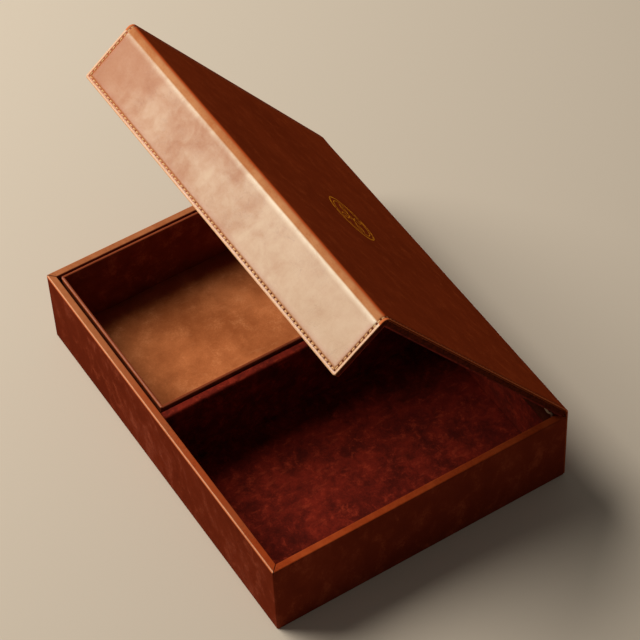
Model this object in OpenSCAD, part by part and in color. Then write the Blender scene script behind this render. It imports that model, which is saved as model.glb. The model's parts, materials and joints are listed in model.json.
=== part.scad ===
// Leather stationery box: a board box in a leather cover, a hinged lid with a front flap,
// a fixed divider and a loose tray. Millimetres, +Z up, +Y to the hinge.
// The origin is the centre of the box's underside. The lid stands open, as it rests.

/* [Box] */
// Outer width of the box, along the flap
box_w = 320; // [240:1:420]
// Outer depth of the box, front to back
box_d = 240; // [160:1:320]
// Height of the box without its lid
box_h = 67; // [45:1:110]
// Thickness of the board in the four walls
wall_board_t = 3.2; // [2.4:0.1:5]
// Thickness of the leather that covers the walls
cover_t = 1.4; // [0.8:0.1:2]
// Thickness of the card and suede that line the walls
wall_lining_t = 1.2; // [0.8:0.1:2]
// Thickness of the board in the base
base_board_t = 3; // [2:0.1:6]
// Thickness of the leather sheet under the base
base_sheet_t = 1.2; // [0.6:0.1:2]
// How far the cover is turned down inside the rim
turn_in = 10; // [5:0.5:20]
// Radius on the outer top edge of the rim
rim_round = 1.2; // [0.4:0.1:1.8]
// Radius on the inner top edge of the rim
rim_inner_round = 0.8; // [0.3:0.1:1.4]
// Radius on the cover's lower edge
foot_round = 0.8; // [0.2:0.1:1.2]
// Radius on the two upright corners at the front
corner_round = 2; // [0.5:0.1:4]

/* [Divider and floors] */
// Thickness of the divider's board
divider_board_t = 5; // [2.4:0.1:8]
// Thickness of the suede over the divider
divider_suede_t = 1.2; // [0.6:0.1:2]
// How far the divider stops below the rim
divider_drop = 3; // [1:0.5:20]
// Radius on the divider's top edges
divider_round = 2.2; // [0.5:0.1:2.4]
// Thickness of the card and suede on the open compartment's floor
deep_floor_t = 1.8; // [0.8:0.1:5]
// Thickness of the lining under the tray
well_floor_t = 1; // [0.6:0.1:3]
// Gap round a floor lining
floor_gap = 0.2; // [0.1:0.1:1]

/* [Tray] */
// Gap between the tray and its compartment, left and right
tray_side_gap = 1; // [0.5:0.1:4]
// Gap between the tray and its compartment, front and back
tray_end_gap = 2.8; // [0.5:0.1:8]
// How far the tray's rim lies below the box's rim
tray_drop = 1; // [0.8:0.1:20]
// Gap under the tray
tray_seat_gap = 0.3; // [0.2:0.1:1]
// Thickness of the board in the tray's walls
tray_board_t = 1.2; // [0.8:0.1:3]
// Thickness of the leather over the tray's walls
tray_leather_t = 0.5; // [0.4:0.1:1.2]
// Thickness of the tray's floor board
tray_floor_board_t = 3.4; // [1.2:0.1:5]
// Thickness of the card and suede on the tray's floor
tray_lining_t = 3.4; // [1:0.1:10]
// Radius on the tray's rim edges
tray_rim_round = 0.8; // [0.3:0.1:1]
// Radius on the tray's upright corners
tray_corner_round = 2; // [0.5:0.1:4]

/* [Lid] */
// How far the lid stands out beyond each side of the box
lid_overhang = 1; // [0:0.1:3]
// Thickness of the leather over the lid and the flap
lid_leather_t = 1.4; // [1:0.1:2]
// Thickness of the lid's board
lid_board_t = 3.4; // [2.4:0.1:5]
// Thickness of the lining under the lid
lid_lining_t = 1.2; // [0.6:0.1:2]
// Gap between the shut lid and the rim
lid_rest_gap = 0.4; // [0.3:0.1:1]
// Height of the flap, from the lid's top to its lower edge
flap_h = 50; // [25:1:65]
// Thickness of the flap's board
flap_board_t = 2.4; // [1.6:0.1:4]
// Thickness of the lining inside the flap
flap_lining_t = 1; // [0.6:0.1:2]
// Gap between the shut flap and the front wall
flap_gap = 1; // [0.4:0.1:4]
// Outer radius where the leather rolls from the lid to the flap
front_roll_r = 4.5; // [2.5:0.1:5.8]
// Radius on the flap's two lower corners
flap_corner_round = 2; // [0.5:0.1:6]
// Width of the leather welt that is stitched between cover and lining
welt_w = 6; // [3:0.5:12]

/* [Hinge] */
// Angle at which the lid stands open
lid_open = 53.3; // [0:0.1:95]
// Gap between the spine's bend and the end of the lid's leather
bend_gap = 0.15; // [0.1:0.05:0.4]
// Gap between the spine's bend and the lid's board
bend_board_gap = 0.8; // [0.3:0.1:3]
// How far the spine stops above the table
spine_foot = 1; // [0.5:0.5:10]
// Radius on the spine's outer upright edges
spine_round = 0.9; // [0.3:0.1:1]
// How far the inner hinge leather reaches down the back wall
back_strip_h = 22; // [12:1:35]
// How far the inner hinge leather reaches under the lid
lid_strip_w = 22; // [12:1:60]
// Gap between the inner hinge leather and the side walls
strip_side_gap = 1; // [0.5:0.1:5]

/* [Closure magnets] */
// Diameter of a closure magnet
magnet_d = 12; // [5:0.5:16]
// Thickness of a closure magnet
magnet_t = 1.6; // [0.8:0.1:1.6]
// Gap round a magnet in its pocket
magnet_fit = 0.1; // [0.05:0.05:0.3]
// Distance of each magnet from the middle of the box
magnet_x = 100; // [30:1:105]
// Height of the magnets above the flap's lower edge
magnet_up = 17; // [15:0.5:17]

/* [Hidden] */

$fn = 48;

// Slack that carries a cut past the face it starts from
past = 1;
// Least flat that a round leaves beside it on the lid's board
board_edge_land = 0.3;
// Least flat that each round leaves on top of a tray wall
tray_rim_land = 0.1;
// Least radius on a board's corner under the leather
least_round = 0.2;

// Colours
leather_brown = [0.42, 0.19, 0.09];
leather_tan = [0.66, 0.4, 0.24];
suede_red = [0.33, 0.07, 0.05];
suede_tan = [0.62, 0.38, 0.22];
board_grey = [0.55, 0.5, 0.44];
magnet_grey = [0.6, 0.6, 0.62];

// Walls, measured inwards from the box's outer faces
board_face = cover_t;
lining_face = cover_t + wall_board_t;
wall_t = lining_face + wall_lining_t;
inner_w = box_w - 2 * wall_t;
inner_d = box_d - 2 * wall_t;
base_top = base_sheet_t + base_board_t;
board_top = box_h - cover_t;
lining_top = box_h - turn_in;

// Divider and the compartment that holds the tray
divider_t = divider_board_t + 2 * divider_suede_t;
divider_top = box_h - divider_drop;
divider_edge_r = min(divider_round, 2 * divider_suede_t);
well_left = -inner_w / 2;
well_right = -divider_t / 2;

// Tray
tray_w = well_right - well_left - 2 * tray_side_gap;
tray_d = inner_d - 2 * tray_end_gap;
tray_x = (well_left + well_right) / 2;
tray_bottom = base_top + well_floor_t + tray_seat_gap;
tray_top = box_h - tray_drop;
tray_wall_t = tray_board_t + 2 * tray_leather_t;
tray_board_bottom = tray_bottom + tray_leather_t;
tray_floor_top = tray_board_bottom + tray_floor_board_t;
tray_h = tray_top - tray_bottom;
tray_rim_r = min(tray_rim_round, tray_wall_t / 2 - tray_rim_land);

// Hinge axis: the inner face of the leather where it bends from the back wall to the lid
axis_y = box_d / 2;
axis_z = box_h + lid_rest_gap + lid_lining_t + lid_board_t;

// Lid, drawn shut and then swung open about the axis
lid_w = box_w + 2 * lid_overhang;
lid_top = axis_z + lid_leather_t;
lid_board_bottom = axis_z - lid_board_t;
lid_underside = lid_board_bottom - lid_lining_t;
flap_inner_y = -box_d / 2 - flap_gap;
flap_lining_y = flap_inner_y - flap_lining_t;
flap_board_y = flap_lining_y - flap_board_t;
flap_outer_y = flap_board_y - lid_leather_t;
flap_bottom = lid_top - flap_h;
lid_back_y = axis_y - lid_leather_t - bend_board_gap;
lid_strip_front_y = lid_back_y - lid_strip_w;
strip_w = inner_w - 2 * strip_side_gap;
board_roll_r = min(front_roll_r - lid_leather_t, lid_board_t - board_edge_land);
magnet_z = flap_bottom + magnet_up;
pocket_r = magnet_d / 2 + magnet_fit;
pocket_t = magnet_t + magnet_fit;

// Turn that brings what is drawn along the front to the side named
function turn_of(side) =
    side == "front" ? 0 : side == "right" ? 90 : side == "back" ? 180 : 270;

// Whether a side runs along the width
function along_x(side) = side == "front" || side == "back";

// Block from one corner to the opposite one
module block(low, high) {
    translate(low)
        cube(high - low);
}

// Rectangle with a radius on each corner, counted anticlockwise from the origin; 0 leaves it sharp
module rounded_section(w, h, radii) {
    corners = [[0, 0], [w, 0], [w, h], [0, h]];
    difference() {
        square([w, h]);
        for (i = [0:3])
            if (radii[i] > 0)
                translate(corners[i])
                    rotate(90 * i)
                        difference() {
                            translate([-past, -past])
                                square(radii[i] + past);
                            translate([radii[i], radii[i]])
                                circle(radii[i]);
                        }
    }
}

// Plan of the box, set in from its outer faces; the spine covers its square back corners
module box_plan(inset) {
    r = max(corner_round - inset, least_round);
    translate([inset - box_w / 2, inset - box_d / 2])
        rounded_section(box_w - 2 * inset, box_d - 2 * inset, [r, r, 0, 0]);
}

// Plan of the tray, set in from its outer faces
module tray_plan(inset) {
    r = max(tray_corner_round - inset, least_round);
    translate([inset - tray_w / 2, inset - tray_d / 2])
        rounded_section(tray_w - 2 * inset, tray_d - 2 * inset, [r, r, r, r]);
}

// A section (inwards, up) run along one side of a rectangle, mitred at both ends
module mitred_run(side, w, d, h) {
    along = along_x(side) ? w : d;
    across = along_x(side) ? d : w;
    reach = min(w, d) / 4;
    intersection() {
        rotate([0, 0, turn_of(side)])
            translate([-along / 2, -across / 2, 0])
                rotate([90, 0, 90])
                    linear_extrude(along)
                        children();
        rotate([0, 0, turn_of(side)])
            linear_extrude(h)
                polygon([
                    [-along / 2, -across / 2],
                    [along / 2, -across / 2],
                    [along / 2 - reach, reach - across / 2],
                    [reach - along / 2, reach - across / 2]
                ]);
    }
}

// A section (depth, up) run along the width of the object
module run_along_x(w) {
    translate([-w / 2, 0, 0])
        rotate([90, 0, 90])
            linear_extrude(w)
                children();
}

// Board along one side, between two heights and two distances from the outer face
module side_board(side, w, d, from_face, to_face, end_inset, low, high) {
    along = along_x(side) ? w : d;
    across = along_x(side) ? d : w;
    rotate([0, 0, turn_of(side)])
        block([end_inset - along / 2, from_face - across / 2, low],
              [along / 2 - end_inset, to_face - across / 2, high]);
}

// Swings what is drawn for the shut lid to where the lid stands
module swung_open() {
    translate([0, axis_y, axis_z])
        rotate([-lid_open, 0, 0])
            translate([0, -axis_y, -axis_z])
                children();
}

module base_sheet() {
    color(leather_brown)
        linear_extrude(base_sheet_t)
            box_plan(board_face);
}

module base_board() {
    color(board_grey)
        block([lining_face - box_w / 2, lining_face - box_d / 2, base_sheet_t],
              [box_w / 2 - lining_face, box_d / 2 - lining_face, base_top]);
}

// The front and back boards run the full width, and the side boards stand between them
module wall_board(side) {
    color(board_grey)
        intersection() {
            side_board(side, box_w, box_d, board_face, lining_face,
                       along_x(side) ? board_face : lining_face, base_sheet_t, board_top);
            linear_extrude(box_h)
                box_plan(board_face);
        }
}

// One magnet pocket or magnet at each side of the middle, sunk inwards from the face at y
module magnet_pair(y, r, t) {
    for (sx = [-1, 1])
        translate([sx * magnet_x, y, magnet_z])
            rotate([-90, 0, 0])
                cylinder(r = r, h = t);
}

module front_board() {
    difference() {
        wall_board("front");
        color(board_grey)
            translate([0, -past, 0])
                magnet_pair(board_face - box_d / 2, pocket_r, pocket_t + past);
    }
}

module wall_magnets() {
    color(magnet_grey)
        magnet_pair(board_face - box_d / 2, magnet_d / 2, magnet_t);
}

// Leather over one wall: up the outside, over the rim and, except at the hinge, down inside
module cover(side, turned_in) {
    color(leather_brown)
        difference() {
            intersection() {
                mitred_run(side, box_w, box_d, box_h)
                    difference() {
                        rounded_section(wall_t, box_h, [foot_round, 0, rim_inner_round, rim_round]);
                        translate([lining_face, -past])
                            square([wall_t, (turned_in ? lining_top : board_top) + past]);
                    }
                linear_extrude(box_h)
                    box_plan(0);
            }
            translate([0, 0, -past])
                linear_extrude(board_top + past)
                    difference() {
                        box_plan(board_face);
                        square([box_w - 2 * lining_face, box_d - 2 * lining_face], center = true);
                    }
        }
}

module wall_lining(side, top) {
    color(suede_red)
        side_board(side, box_w, box_d, lining_face, wall_t,
                   along_x(side) ? lining_face : wall_t, base_top, top);
}

module divider_board() {
    color(board_grey)
        block([-divider_board_t / 2, -inner_d / 2, base_top],
              [divider_board_t / 2, inner_d / 2, divider_top - divider_suede_t]);
}

module divider_suede() {
    color(suede_red)
        translate([0, inner_d / 2, base_top])
            rotate([90, 0, 0])
                linear_extrude(inner_d)
                    difference() {
                        translate([-divider_t / 2, 0])
                            rounded_section(divider_t, divider_top - base_top,
                                            [0, 0, divider_edge_r, divider_edge_r]);
                        translate([-divider_board_t / 2, -past])
                            square([divider_board_t, divider_top - divider_suede_t - base_top + past]);
                    }
}

module deep_floor() {
    color(suede_red)
        block([divider_t / 2 + floor_gap, floor_gap - inner_d / 2, base_top],
              [inner_w / 2 - floor_gap, inner_d / 2 - floor_gap, base_top + deep_floor_t]);
}

module well_floor() {
    color(suede_red)
        block([well_left + floor_gap, floor_gap - inner_d / 2, base_top],
              [well_right - floor_gap, inner_d / 2 - floor_gap, base_top + well_floor_t]);
}

// The lid's leather runs on down the back wall; its bend is a round about the hinge axis
module spine_leather() {
    color(leather_brown)
        intersection() {
            run_along_x(box_w)
                union() {
                    translate([axis_y, spine_foot])
                        square([lid_leather_t, axis_z - spine_foot]);
                    translate([axis_y, axis_z])
                        circle(lid_leather_t);
                }
            linear_extrude(lid_top + past)
                translate([-box_w / 2, 0])
                    rounded_section(box_w, box_d / 2 + lid_leather_t, [0, 0, spine_round, spine_round]);
        }
}

module back_hinge_strip() {
    color(leather_tan)
        block([-inner_w / 2, inner_d / 2, box_h - back_strip_h],
              [inner_w / 2, inner_d / 2 + wall_lining_t, board_top]);
}

// Section of the shut lid and flap inside a front face and a top, with the roll between them
module lid_section(front_y, top_z, roll_r, back_y, bottom_z) {
    translate([front_y, bottom_z])
        rounded_section(back_y - front_y, top_z - bottom_z, [0, 0, 0, roll_r]);
}

// Keeps what lies inside the lid's outline from the front: straight sides, rounded flap corners
module flap_outline() {
    intersection() {
        children();
        translate([-lid_w / 2, axis_y + past, flap_bottom])
            rotate([90, 0, 0])
                linear_extrude(axis_y - flap_outer_y + 2 * past)
                    rounded_section(lid_w, flap_h + past, [flap_corner_round, flap_corner_round, 0, 0]);
    }
}

module lid_leather() {
    color(leather_brown)
        swung_open()
            flap_outline()
                run_along_x(lid_w)
                    difference() {
                        lid_section(flap_outer_y, lid_top, front_roll_r, axis_y, flap_bottom);
                        lid_section(flap_board_y, axis_z, board_roll_r, axis_y + past, flap_bottom - past);
                        translate([axis_y, axis_z])
                            circle(lid_leather_t + bend_gap);
                    }
}

// Board that fills the lid and reaches into the roll
module lid_board() {
    color(board_grey)
        swung_open()
            run_along_x(lid_w - 2 * welt_w)
                lid_section(flap_board_y, axis_z, board_roll_r, lid_back_y, lid_board_bottom);
}

module flap_board() {
    color(board_grey)
        swung_open()
            difference() {
                block([welt_w - lid_w / 2, flap_board_y, flap_bottom + welt_w],
                      [lid_w / 2 - welt_w, flap_lining_y, lid_board_bottom]);
                magnet_pair(flap_lining_y - pocket_t, pocket_r, pocket_t + past);
            }
}

module flap_magnets() {
    color(magnet_grey)
        swung_open()
            magnet_pair(flap_lining_y - magnet_t, magnet_d / 2, magnet_t);
}

module lid_lining() {
    color(suede_red)
        swung_open()
            difference() {
                block([-lid_w / 2, flap_inner_y, lid_underside],
                      [lid_w / 2, lid_back_y, lid_board_bottom]);
                block([-strip_w / 2, lid_strip_front_y, lid_underside - past],
                      [strip_w / 2, lid_back_y + past, lid_board_bottom + past]);
            }
}

module lid_hinge_strip() {
    color(leather_tan)
        swung_open()
            block([-strip_w / 2, lid_strip_front_y, lid_underside],
                  [strip_w / 2, lid_back_y, lid_board_bottom]);
}

module flap_lining() {
    color(suede_red)
        swung_open()
            flap_outline()
                block([-lid_w / 2, flap_lining_y, flap_bottom],
                      [lid_w / 2, flap_inner_y, lid_board_bottom]);
}

// Welt along the lid's edge, from the hinge into the roll; side is -1 at the left and 1 at the right
module lid_welt(side) {
    color(leather_tan)
        swung_open()
            translate([side * (lid_w - welt_w) / 2, 0, 0])
                run_along_x(welt_w)
                    lid_section(flap_board_y, axis_z, board_roll_r, lid_back_y, lid_board_bottom);
}

// Welt down the flap's edge
module flap_welt(side) {
    color(leather_tan)
        swung_open()
            flap_outline()
                translate([side * (lid_w - welt_w) / 2, 0, 0])
                    block([-welt_w / 2, flap_board_y, flap_bottom],
                          [welt_w / 2, flap_lining_y, lid_board_bottom]);
}

module lower_flap_welt() {
    color(leather_tan)
        swung_open()
            block([welt_w - lid_w / 2, flap_board_y, flap_bottom],
                  [lid_w / 2 - welt_w, flap_lining_y, flap_bottom + welt_w]);
}

module tray_base_leather() {
    color(leather_brown)
        translate([tray_x, 0, tray_bottom])
            linear_extrude(tray_leather_t)
                tray_plan(tray_leather_t);
}

module tray_floor_board() {
    color(board_grey)
        translate([tray_x, 0, tray_board_bottom])
            linear_extrude(tray_floor_board_t)
                tray_plan(tray_leather_t);
}

// The front and back boards run the full width, and the side boards stand between them
module tray_wall_board(side) {
    color(board_grey)
        translate([tray_x, 0, 0])
            intersection() {
                side_board(side, tray_w, tray_d, tray_leather_t, tray_leather_t + tray_board_t,
                           tray_leather_t + (along_x(side) ? 0 : tray_board_t),
                           tray_floor_top, tray_top - tray_leather_t);
                linear_extrude(tray_top)
                    tray_plan(tray_leather_t);
            }
}

// Leather up the outside of a tray wall, over its rim and down to the floor board
module tray_leather(side) {
    color(leather_tan)
        translate([tray_x, 0, tray_bottom])
            difference() {
                intersection() {
                    mitred_run(side, tray_w, tray_d, tray_h)
                        rounded_section(tray_wall_t, tray_h, [0, 0, tray_rim_r, tray_rim_r]);
                    linear_extrude(tray_h)
                        tray_plan(0);
                }
                translate([0, 0, -past])
                    linear_extrude(tray_floor_top - tray_bottom + past)
                        tray_plan(tray_leather_t);
                linear_extrude(tray_h - tray_leather_t)
                    difference() {
                        tray_plan(tray_leather_t);
                        square([tray_w - 2 * (tray_leather_t + tray_board_t),
                                tray_d - 2 * (tray_leather_t + tray_board_t)], center = true);
                    }
            }
}

module tray_floor_lining() {
    inset = tray_wall_t + floor_gap;
    color(suede_tan)
        translate([tray_x - tray_w / 2 + inset, inset - tray_d / 2, tray_floor_top])
            cube([tray_w - 2 * inset, tray_d - 2 * inset, tray_lining_t]);
}

base_sheet();
base_board();
front_board();
wall_board("right");  // right_board
wall_board("back");  // back_board
wall_board("left");  // left_board
cover("front", true);  // front_cover
cover("right", true);  // right_cover
cover("back", false);  // back_cover
cover("left", true);  // left_cover
wall_lining("front", lining_top);  // front_lining
wall_lining("right", lining_top);  // right_lining
wall_lining("back", box_h - back_strip_h);  // back_lining
wall_lining("left", lining_top);  // left_lining
divider_board();
divider_suede();
deep_floor();
well_floor();
wall_magnets();
spine_leather();
back_hinge_strip();
lid_leather();
lid_board();
flap_board();
lid_lining();
flap_lining();
lid_welt(-1);  // left_lid_welt
lid_welt(1);  // right_lid_welt
flap_welt(-1);  // left_flap_welt
flap_welt(1);  // right_flap_welt
lower_flap_welt();
flap_magnets();
lid_hinge_strip();
tray_base_leather();
tray_floor_board();
tray_wall_board("front");  // tray_front_board
tray_wall_board("right");  // tray_right_board
tray_wall_board("back");  // tray_back_board
tray_wall_board("left");  // tray_left_board
tray_leather("front");  // tray_front_leather
tray_leather("right");  // tray_right_leather
tray_leather("back");  // tray_back_leather
tray_leather("left");  // tray_left_leather
tray_floor_lining();
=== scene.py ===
import json
import math

import bmesh
import bpy
from mathutils import Matrix, Vector, noise


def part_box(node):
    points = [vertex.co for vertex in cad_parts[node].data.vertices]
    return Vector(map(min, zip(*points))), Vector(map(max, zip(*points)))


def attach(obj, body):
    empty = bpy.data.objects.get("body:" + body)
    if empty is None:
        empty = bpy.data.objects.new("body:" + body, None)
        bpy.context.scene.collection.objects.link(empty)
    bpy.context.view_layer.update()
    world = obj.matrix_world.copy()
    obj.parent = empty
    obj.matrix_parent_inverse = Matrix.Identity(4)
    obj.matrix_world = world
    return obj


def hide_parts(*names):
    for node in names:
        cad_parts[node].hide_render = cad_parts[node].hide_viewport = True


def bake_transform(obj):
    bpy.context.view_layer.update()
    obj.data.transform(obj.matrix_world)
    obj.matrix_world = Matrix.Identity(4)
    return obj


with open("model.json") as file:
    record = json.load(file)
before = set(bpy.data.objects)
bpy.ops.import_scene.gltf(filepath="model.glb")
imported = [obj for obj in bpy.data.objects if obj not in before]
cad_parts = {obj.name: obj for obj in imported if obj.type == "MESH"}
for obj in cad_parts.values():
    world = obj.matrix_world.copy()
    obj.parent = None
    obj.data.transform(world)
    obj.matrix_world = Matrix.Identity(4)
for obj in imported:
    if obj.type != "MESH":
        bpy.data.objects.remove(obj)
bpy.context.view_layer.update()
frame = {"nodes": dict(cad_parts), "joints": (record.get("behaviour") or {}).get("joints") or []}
mm = 0.001

lidHinge = next(j for j in frame["joints"] if j["name"] == "lid_hinge")
openAngle = math.radians(-lidHinge["range_deg"][0])  # how far the lid stands open


# Shader arithmetic
class Wire:
    # A shader socket that takes part in plain arithmetic; colours and vectors are told apart by kind
    def __init__(self, tree, socket):
        self.tree = tree
        self.socket = socket

    # One node: its type, then its settings, then what feeds its sockets
    def node(self, kind, settings=None, feeds=None, out=0):
        made = self.tree.nodes.new(kind)
        for name, value in (settings or {}).items():
            setattr(made, name, value)
        for name, value in (feeds or {}).items():
            if isinstance(value, Wire):
                self.tree.links.new(value.socket, made.inputs[name])
            else:
                made.inputs[name].default_value = value
        return Wire(self.tree, made.outputs[out])

    def maths(self, operation, *values):
        return self.node("ShaderNodeMath", {"operation": operation}, dict(enumerate(values)))

    def vector(self, operation, *values):
        return self.node("ShaderNodeVectorMath", {"operation": operation}, dict(enumerate(values)))

    def __add__(self, other):
        return self.maths("ADD", self, other)

    __radd__ = __add__

    def __mul__(self, other):
        return self.maths("MULTIPLY", self, other)

    __rmul__ = __mul__

    def __sub__(self, other):
        return self.maths("SUBTRACT", self, other)

    def __rsub__(self, other):
        return self.maths("SUBTRACT", other, self)

    def __truediv__(self, other):
        return self.maths("DIVIDE", self, other)

    def __abs__(self):
        return self.maths("ABSOLUTE", self)

    def __pow__(self, other):
        return self.maths("POWER", self, other)

    def least(self, other):
        return self.maths("MINIMUM", self, other)

    def most(self, other):
        return self.maths("MAXIMUM", self, other)

    # 0 at low, 1 at high, smooth between; low may be the larger
    def ramp(self, low, high):
        if low > high:
            return 1 - self.ramp(high, low)
        return self.node("ShaderNodeMapRange", {"interpolation_type": "SMOOTHSTEP"},
                         {"Value": self, "From Min": low, "From Max": high})

    def scaled(self, factors):
        return self.vector("MULTIPLY", self, factors)

    def shifted(self, offset):
        return self.vector("ADD", self, offset)

    def part(self, letter):
        return self.node("ShaderNodeSeparateXYZ", None, {0: self}, "XYZ".index(letter))

    # Fractal noise of a feature size in metres, 0 to 1
    def noise(self, size, detail=3, distortion=0.0, roughness=0.55):
        return self.node("ShaderNodeTexNoise", None,
                         {"Vector": self, "Scale": 1 / size, "Detail": detail,
                          "Roughness": roughness, "Distortion": distortion})

    # Cells of a size in metres: distance to the nearest cell's centre or edge
    def cells(self, size, feature="F1", randomness=1.0):
        return self.node("ShaderNodeTexVoronoi", {"feature": feature},
                         {"Vector": self, "Scale": 1 / size, "Randomness": randomness})

    # A colour mix steered by this wire
    def mix(self, low, high):
        made = self.tree.nodes.new("ShaderNodeMix")
        made.data_type = "RGBA"
        self.tree.links.new(self.socket, made.inputs["Factor"])
        for name, value in (("A", low), ("B", high)):
            socket = next(s for s in made.inputs if s.name == name and s.type == "RGBA")
            if isinstance(value, Wire):
                self.tree.links.new(value.socket, socket)
            else:
                socket.default_value = (*linear(value), 1)
        return Wire(self.tree, next(s for s in made.outputs if s.type == "RGBA"))


def linear(colour):
    return tuple((c / 255) / 12.92 if c / 255 <= 0.04045 else ((c / 255 + 0.055) / 1.055) ** 2.4
                 for c in colour)


class Finish:
    # A Principled material whose varying inputs are fed by wires
    def __init__(self, name, uniform=None):
        self.material = bpy.data.materials.new(name)
        self.material.use_nodes = True
        self.tree = self.material.node_tree
        self.shader = self.tree.nodes["Principled BSDF"]
        for socket, value in (uniform or {}).items():
            self.shader.inputs[socket].default_value = value

    # Coordinates in metres, of the object or of a UV map that holds metres
    def place(self, uvMap=None):
        start = Wire(self.tree, None)
        if uvMap:
            return start.node("ShaderNodeUVMap", {"uv_map": uvMap})
        return start.node("ShaderNodeTexCoord", None, None, "Object")

    def feed(self, **inputs):
        for name, value in inputs.items():
            socket = self.shader.inputs[name.replace("_", " ")]
            if isinstance(value, Wire):
                self.tree.links.new(value.socket, socket)
            else:
                socket.default_value = value

    # Relief from a height wire in metres
    def relief(self, height):
        made = self.tree.nodes.new("ShaderNodeBump")
        made.inputs["Distance"].default_value = 1.0
        self.tree.links.new(height.socket, made.inputs["Height"])
        self.tree.links.new(made.outputs["Normal"], self.shader.inputs["Normal"])


# Materials
# Wall leather. Rim tops go paler, from the left tone to the right tone: partly wear, partly painted light on the lit
# top faces. The edge colour is partly wear and partly painted highlight, with a darker copy, a painted shade, where
# the band runs down the sides
leatherLook = {
    "deep": (102, 38, 21), "body": (126, 49, 27), "pale": (146, 64, 38), "wearAndHighlight": (238, 172, 124),
    "wearAndHighlightInShade": (226, 122, 68), "left": ((168, 96, 56), (184, 116, 74)), "right": ((150, 56, 22), (174, 78, 36)), "change": (-0.35, 0.25),
    "seam": (52, 22, 12), "creaseShade": 0.3, "roughness": 0.55, "specular": 0.0, "polish": 0.1, "contrast": 0.2,
    "wax": (0.0, 0.0), "edgeWax": 0.45, "bloom": 0.06, "relief": 1.0, "coatIor": 1.5,
}
suedeLook = {
    "redDeep": (70, 15, 7), "redBody": (128, 32, 15), "redPale": (164, 58, 32),
    "tanDeep": (158, 85, 42), "tanBody": (204, 121, 69), "tanPale": (222, 149, 97),
}


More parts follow.
